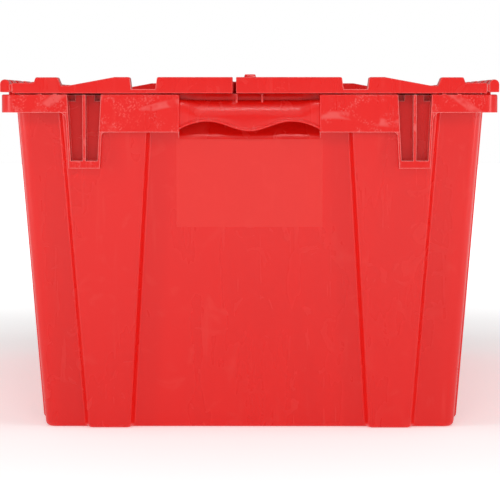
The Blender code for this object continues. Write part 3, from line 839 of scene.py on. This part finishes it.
for x in (LUG_MIDDLE - TAB_HALF, LUG_MIDDLE + TAB_HALF):
    slice_faces(lug, pocket_backs, (x, 0, 0), (1, 0, 0))
    slice_faces(lug, behind_top, (x, 0, 0), (1, 0, 0))
slice_faces(lug, pocket_backs, (0, 0, NICHE_FLOOR), (0, 0, 1))
slice_faces(lug, behind_top, (0, -NICHE_BACK, 0), (0, 1, 0))
niches = faces_where(
    lug, lambda c, n: pocket_backs(c, n) and c.z > NICHE_FLOOR and beside_tab(c.x)
)
press_open(lug, niches, NICHE_BACK, beside_tab)
print("open edges in a lug", sum(edge.is_boundary for edge in lug.edges))

# %% Small webs round the corners below the bands
WEB_BURIED = 0.0003
WEB_BEHIND = 0.0001
OUTER_WEB = 0.0068
INNER_WEB = 0.0045
LUG_EDGE = 0.0005


def web(bm, wall_x, low, radius, hand):
    """A fillet between a lug's side and the lower edge of the band beside it."""
    front = -HALF_Y + WEB_BEHIND
    corner_x, corner_z = wall_x - hand * WEB_BURIED, low + WEB_BURIED
    before = set(bm.verts)
    start = bm.verts.new((corner_x + hand * radius, front, corner_z))
    middle = (corner_x + hand * radius, front, corner_z - radius)
    bmesh.ops.spin(
        bm, geom=[start], cent=middle, axis=(0, 1, 0),
        angle=-hand * math.pi / 2, steps=8, use_merge=False,
    )
    arc = sorted((v for v in bm.verts if v not in before), key=lambda v: v.co.z)
    heel = bm.verts.new((corner_x, front, corner_z))
    face = bm.faces.new(arc + [heel])
    result = bmesh.ops.extrude_face_region(bm, geom=[face])["geom"]
    for vert in verts_in(result):
        vert.co.y += RIM_WALL
    print("web of radius", radius, "with", len(arc), "points on its arc")


web(lug, lug_x(1, SKIRT_LOW), SKIRT_LOW, OUTER_WEB, 1)
web(lug, lug_x(0, WIDE_LOW), WIDE_LOW, INNER_WEB, -1)


# %% Four of them
def add_mirrored(bm, axis):
    """Adds a mirrored copy of everything, about the plane through the middle."""
    copies = bmesh.ops.duplicate(bm, geom=bm.verts[:] + bm.edges[:] + bm.faces[:])["geom"]
    factor = [-1.0 if i == axis else 1.0 for i in range(3)]
    bmesh.ops.scale(bm, vec=factor, verts=verts_in(copies))


add_mirrored(lug, 0)
add_mirrored(lug, 1)
finish_piece(lug, "stacking_lugs", bin_red, edge=LUG_EDGE)

# %% [markdown]
# ## Rolled grips
# The grip is the wall's edge rolled outwards and down, with a bead along its wavy lower
# edge so that it doesn't bite the fingers. A grid is bent to that section: its rows are
# the points of the section, its columns run along the grip, and the lower rows follow
# the wave. The grid is fine along the wave, smooth shading does the rest, and Solidify
# gives it the wall. Towards the ends the section squares up to meet the bands.

# %% Section and wave
GRIP_LOBE = 0.2604
GRIP_ARCH = 0.2686
GRIP_END_LOW = 0.2620
GRIP_ARCH_AT = 0.0360
GRIP_COLUMNS = 72
ROLL = (
    (0.3286, 0.2874), (0.3325, 0.2871), (0.3354, 0.2852), (0.3374, 0.2820),
    (0.3388, 0.2778), (0.3397, 0.2727),
)
SQUARE = (
    (0.3286, 0.2876), (0.3345, 0.2878), (0.3378, 0.2871), (0.3395, 0.2849),
    (0.3401, 0.2810), (0.3400, 0.2750),
)
BEAD = (
    (0.3393, 0.0040), (0.3393, 0.0027), (0.3401, 0.0021),
    (0.3405, 0.0012), (0.3401, 0.0004), (0.3391, 0.0000),
)
SQUARE_FROM = 0.0400
GRIP_WALL = 0.0024
GRIP_TUCK = 0.0010


def grip_low(x):
    away = abs(x)
    if away < GRIP_ARCH_AT:
        share = (1 - math.cos(math.pi * away / GRIP_ARCH_AT)) / 2
        return GRIP_LOBE + (GRIP_ARCH - GRIP_LOBE) * share
    share = (away - GRIP_ARCH_AT) / (GRIP_HALF - GRIP_ARCH_AT)
    return GRIP_ARCH - (GRIP_ARCH - GRIP_END_LOW) * share ** 2


def grip_point(x, row):
    """Where a row of the grid lies at a place along the grip, as (distance, z)."""
    if row >= len(ROLL):
        y, above = BEAD[row - len(ROLL)]
        return y, grip_low(x) + above
    share = min(max((abs(x) - SQUARE_FROM) / (GRIP_HALF - SQUARE_FROM), 0.0), 1.0)
    share = share * share * (3 - 2 * share)
    roll, square = Vector(ROLL[row]), Vector(SQUARE[row])
    return tuple(roll.lerp(square, share))


# %% Bend the grid
grip = bmesh.new()
rows = len(ROLL) + len(BEAD) - 1
bmesh.ops.create_grid(grip, x_segments=GRIP_COLUMNS, y_segments=rows, size=1.0)
for vert in grip.verts:
    x = vert.co.x * (GRIP_HALF + GRIP_TUCK)
    y, z = grip_point(x, round((1 - vert.co.y) / 2 * rows))
    vert.co = (x, -y, z)
add_mirrored(grip, 1)
grips = finish_piece(grip, "rolled_grips", bin_red, wall=GRIP_WALL)
print("grips", [round(v, 4) for v in grips.dimensions])

# %% [markdown]
# ## Small rests
# The lids rest on small nubs at the corners, and two ribs prop the wall above each grip.
# One box of each kind is made in one corner, and mirrored twice for the other three.

# %% Nubs and ribs
NUB_HALF = 0.0017
NUBS_AT = (0.1674, 0.1804)
NUB_FRONT = 0.3412
NUB_BACK = 0.3378
NUB_BURIED = 0.0010
RIB_AT = 0.0110
RIB_HALF = 0.0008
RIB_FRONT = 0.3358
RIB_BACK = 0.3280
RIB_LOW = 0.2852
REST_EDGE = 0.0004

rests = bmesh.new()
for x in NUBS_AT:
    block(
        rests, (x - NUB_HALF, -NUB_FRONT, RIM_TOP - NUB_BURIED),
        (x + NUB_HALF, -NUB_BACK, LIP_TOP),
    )
block(
    rests, (RIB_AT - RIB_HALF, -RIB_FRONT, RIB_LOW), (RIB_AT + RIB_HALF, -RIB_BACK, LIP_TOP)
)
add_mirrored(rests, 0)
add_mirrored(rests, 1)
finish_piece(rests, "lid_rest_nubs", bin_red, edge=REST_EDGE)

# %% [markdown]
# ## Hinge barrels on the bin
# Five barrels stand on each side rail and share the rod with the lid's own knuckles. A
# circle pulled along the rail and given a wall is a true tube, so the rod can be seen to
# run through it. A thin post carries each one.

# %% Barrels and posts
AXIS_X = 0.2103
AXIS_Z = 0.3008
BARREL = 0.0042
BARREL_WALL = 0.0018
BARREL_EDGE = 0.0003
BARREL_SIDES = 32
BIN_BARRELS = (
    (0.0, 0.040), (0.160, 0.040), (-0.160, 0.040), (0.293, 0.028), (-0.293, 0.028),
)
POST_IN = 0.0050
POST_OUT = 0.0004
POST_SHORT = 0.0003
POST_LOW = 0.2860
POST_HIGH = AXIS_Z - 0.0020
POST_EDGE = 0.0005

tubes = bmesh.new()
posts = bmesh.new()
for centre, length in BIN_BARRELS:
    half = length / 2
    circle = bmesh.ops.create_circle(
        tubes, cap_ends=False, segments=BARREL_SIDES, radius=BARREL,
        matrix=Matrix.Translation((AXIS_X, centre - half, AXIS_Z))
        @ Matrix.Rotation(math.pi / 2, 4, "X"),
    )["verts"]
    edges = {edge for vert in circle for edge in vert.link_edges}
    pulled = bmesh.ops.extrude_edge_only(tubes, edges=list(edges))["geom"]
    bmesh.ops.translate(tubes, vec=(0, length, 0), verts=verts_in(pulled))
    block(
        posts, (AXIS_X - POST_IN, centre - half + POST_SHORT, POST_LOW),
        (AXIS_X + POST_OUT, centre + half - POST_SHORT, POST_HIGH),
    )
add_mirrored(tubes, 0)
add_mirrored(posts, 0)
finish_piece(tubes, "bin_hinge_barrels", bin_red, wall=BARREL_WALL, edge=BARREL_EDGE)
finish_piece(posts, "bin_hinge_posts", bin_red, edge=POST_EDGE)

# %% [markdown]
# ## Lids
# Each lid half is a thin plate with raised rims, a zigzag seam, ribs below and knuckles
# along its hinge edge. Its true shape is already in the frame, sharp edged, so a copy is
# merged, its flat faces are joined again, and a bevel rounds the outward edges as the
# mould would. Inner corners stay crisp, and so does the low step at the notch's floor,
# which is smaller than the rounding. Both halves are the same moulding.


# %% Copy, merge, round
NOTCH_FLOOR = 0.2965
LID_ROUND = 0.0006
FLAT_WITHIN = math.radians(1.0)
CREASE = math.radians(40)


def rounded_copy(source, name, material, body):
    """A copy of a node with its outward edges rounded, kept within the tote's length."""
    bm = bmesh.new()
    bm.from_mesh(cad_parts[source].data)
    bmesh.ops.remove_doubles(bm, verts=bm.verts, dist=2e-6)
    bmesh.ops.dissolve_limit(
        bm, angle_limit=FLAT_WITHIN, verts=bm.verts, edges=bm.edges, delimit=set()
    )
    print(source, "open edges", sum(not edge.is_manifold for edge in bm.edges))
    bm.normal_update()
    sharp = [
        edge for edge in bm.edges
        if edge.is_manifold and edge.is_convex
        and edge.calc_face_angle(0) > SHARP_FROM
        and not any(abs(v.co.z - NOTCH_FLOOR) < 1e-5 for v in edge.verts)
    ]
    bmesh.ops.bevel(
        bm, geom=sharp, offset=LID_ROUND, offset_type="OFFSET", segments=2,
        profile=0.5, affect="EDGES", material=-1, clamp_overlap=False,
        miter_outer="ARC",
    )
    for vert in bm.verts:
        vert.co.y = min(max(vert.co.y, -HALF_Y), HALF_Y)
    print(len(sharp), "edges rounded")
    piece = finish_piece(bm, name, material, body=body, node=source)
    piece.data.set_sharp_from_angle(angle=CREASE)
    steady_shading(piece)
    return piece


for hand in ("right", "left"):
    rounded_copy("lid_" + hand, "lid_half_" + hand, lid_red, hand + "_lid")

# %% [markdown]
# ## Hinge rods
# The rods are drawn steel wire with a bright zinc coat. The frame's own rods have the
# right shape, so they stay and only get a finish: a metal with fine draw marks along Y
# and the pale cloudy spangle of zinc.

# %% Zinc coated steel
DRAW_STRETCH = (2600.0, 24.0, 2600.0)
DRAW_DEPTH = 0.00002
SPANGLE_SCALE = 320.0
ZINC_DARK = (0.50, 0.51, 0.53, 1.0)
ZINC_LIGHT = (0.72, 0.73, 0.74, 1.0)


def zinc_steel():
    """Zinc: pale grey cells under fine marks that run along the wire."""
    material, tree, shader = tree_of("zinc_coated_steel")
    place = node(tree, "ShaderNodeTexCoord").outputs["Object"]
    drawn = node(tree, "ShaderNodeMapping", {0: place, 3: DRAW_STRETCH}).outputs[0]
    marks = node(tree, "ShaderNodeTexNoise", {0: drawn, 2: 1.0, 3: 3.0}).outputs[0]
    spangle = node(
        tree, "ShaderNodeTexVoronoi", {0: place, 2: SPANGLE_SCALE}
    ).outputs["Color"]
    grey = node(tree, "ShaderNodeSeparateColor", {0: spangle}).outputs[0]
    colour = blend_colour(tree, grey, ZINC_DARK, ZINC_LIGHT)
    tree.links.new(colour, shader.inputs["Base Color"])
    gloss = maths(tree, "MULTIPLY_ADD", marks, 0.25, 0.22)
    tree.links.new(gloss, shader.inputs["Roughness"])
    bump = node(
        tree, "ShaderNodeBump",
        {"Distance": 1.0, "Height": maths(tree, "MULTIPLY", marks, DRAW_DEPTH)},
    )
    tree.links.new(bump.outputs[0], shader.inputs["Normal"])
    shader.inputs["Metallic"].default_value = 1.0
    return material


steel = zinc_steel()
for side in ("right", "left"):
    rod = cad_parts["hinge_rod_" + side]
    for slot in rod.material_slots:
        slot.material = steel
    print(rod.name, "finished in", steel.name)

# %% [markdown]
# ## Studio
# A white sweep of floor and soft light from all round shows moulded plastic best: broad
# lamps give long quiet highlights down the columns, and nothing dark is mirrored. The
# floor glows a little, more so with distance, so that it fades into the white behind it.
# The sky is seen at full white but lights the tote with less, to keep the red deep.

# %% Floor, world and lamps
def plain_material(name, colour, roughness):
    material, tree, shader = tree_of(name)
    shader.inputs["Base Color"].default_value = (*colour, 1.0)
    shader.inputs["Roughness"].default_value = roughness
    return material


ground = bmesh.new()
bmesh.ops.create_grid(ground, x_segments=1, y_segments=1, size=8.0)
ground_mesh = bpy.data.meshes.new("floor")
ground.to_mesh(ground_mesh)
ground.free()
floor = bpy.data.objects.new("floor", ground_mesh)
bpy.context.scene.collection.objects.link(floor)
FLOOR_NEAR = 0.4
FLOOR_FAR = 1.7
FLOOR_GLOW = (0.30, 0.95)
pale = plain_material("pale_floor", (0.92, 0.92, 0.92), 0.9)
pale_shader = pale.node_tree.nodes["Principled BSDF"]
pale_shader.inputs["Emission Color"].default_value = (1.0, 1.0, 1.0, 1.0)
far = node(
    pale.node_tree, "ShaderNodeVectorMath",
    {0: node(pale.node_tree, "ShaderNodeTexCoord").outputs["Object"]}, operation="LENGTH",
).outputs["Value"]
glow = ranged(pale.node_tree, far, FLOOR_NEAR, FLOOR_FAR, FLOOR_GLOW[0], FLOOR_GLOW[1])
pale.node_tree.links.new(glow, pale_shader.inputs["Emission Strength"])
ground_mesh.materials.append(pale)

world = bpy.data.worlds.new("studio")
bpy.context.scene.world = world
world.use_nodes = True
sky = world.node_tree.nodes["Background"]
sky.inputs["Color"].default_value = (1.0, 1.0, 1.0, 1.0)
SKY_SEEN = 1.0
SKY_LIGHT = 0.36
seen = node(world.node_tree, "ShaderNodeLightPath").outputs["Is Camera Ray"]
strength = maths(world.node_tree, "MULTIPLY_ADD", seen, SKY_SEEN - SKY_LIGHT, SKY_LIGHT)
world.node_tree.links.new(strength, sky.inputs["Strength"])


def lamp(name, place, target, size, power):
    data = bpy.data.lights.new(name, "AREA")
    data.shape = "RECTANGLE"
    data.size, data.size_y = size
    data.energy = power
    thing = bpy.data.objects.new(name, data)
    bpy.context.scene.collection.objects.link(thing)
    thing.location = place
    aim = Vector(target) - Vector(place)
    thing.rotation_euler = aim.to_track_quat("-Z", "Y").to_euler()


FACE = (0.0, -0.3, 0.2)
LID = (0.0, -0.25, 0.3)
FLANK_FOOT = (0.0, -0.3, 0.15)
for name, place, target, size, power in (
    ("front_soft", (0.0, -2.5, 1.9), FACE, (1.0, 0.16), 9.5),
    ("front_fill", (0.0, -2.7, 1.10), FACE, (1.6, 0.4), 2.5),
    ("overhead", (0.0, -0.6, 2.2), LID, (2.0, 0.9), 10.5),
    ("left_strip", (-1.9, -1.0, 0.6), FLANK_FOOT, (0.22, 1.4), 9.0),
    ("right_strip", (1.9, -1.0, 0.6), FLANK_FOOT, (0.22, 1.4), 9.0),
):
    lamp(name, place, target, size, power)
bpy.context.scene.view_settings.view_transform = "Standard"
print("studio ready")

# %% [markdown]
# ## Camera
# A long lens from a little over two metres keeps the end wall nearly square and still
# shows the side walls falling away. It looks down by a few degrees from rim height.

# %% Camera
LENS = 163.1
SENSOR = 36.0
EYE = (0.01, -2.2915, 0.286)
LOOK_DOWN = 3.75
LOOK_LEFT = 0.28

eye = bpy.data.cameras.new("camera")
eye.lens = LENS
eye.sensor_width = SENSOR
camera = bpy.data.objects.new("camera", eye)
bpy.context.scene.collection.objects.link(camera)
camera.location = EYE
camera.rotation_euler = (math.radians(90 - LOOK_DOWN), 0.0, math.radians(LOOK_LEFT))
bpy.context.scene.camera = camera
print("camera at", EYE, "with a lens of", LENS)
